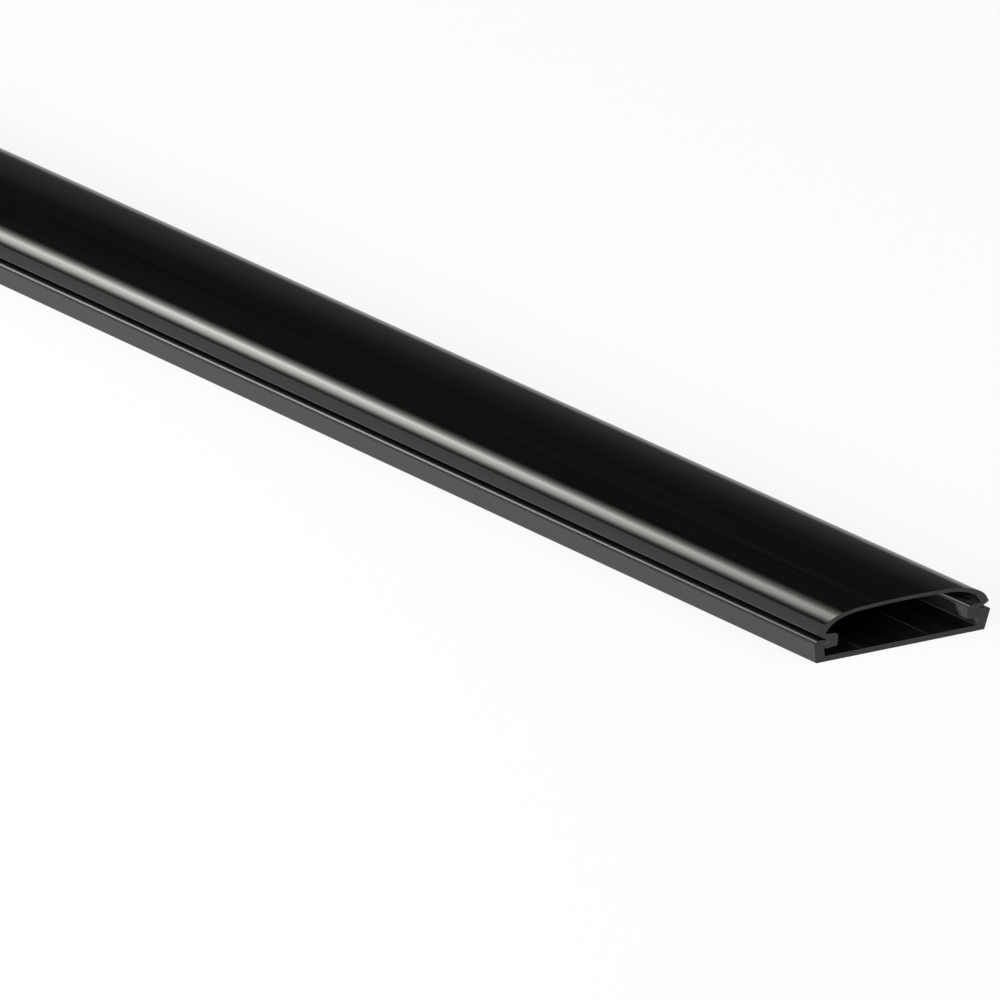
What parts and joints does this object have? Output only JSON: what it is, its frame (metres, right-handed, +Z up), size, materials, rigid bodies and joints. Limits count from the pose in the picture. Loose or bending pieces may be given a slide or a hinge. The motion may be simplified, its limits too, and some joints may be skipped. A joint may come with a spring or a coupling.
{
  "type": "cord cover raceway",
  "caption": "Straight cord cover raceway: a low base channel with barbed side walls and a domed cover that snaps into it, closing a channel for cords, with a square end and a mitred end.",
  "frame": {"origin": "midway along the length, under the centre line, on the underside of the base", "axes": "+X along the length towards the mitred end, +Y across towards the longer side, +Z up from the underside to the crown of the cover"},
  "size_m": [0.4, 0.0318, 0.02],
  "materials": {
    "base_plastic": "black extruded rigid plastic, semi-gloss, with fine lines along the length and dull sawn ends",
    "cover_plastic": "black extruded rigid plastic, glossy, with fine lines along the length and dull sawn ends"
  },
  "bodies": {
    "root": {"base_channel": "base_plastic", "domed_cover": "cover_plastic"}
  },
  "joints": []
}
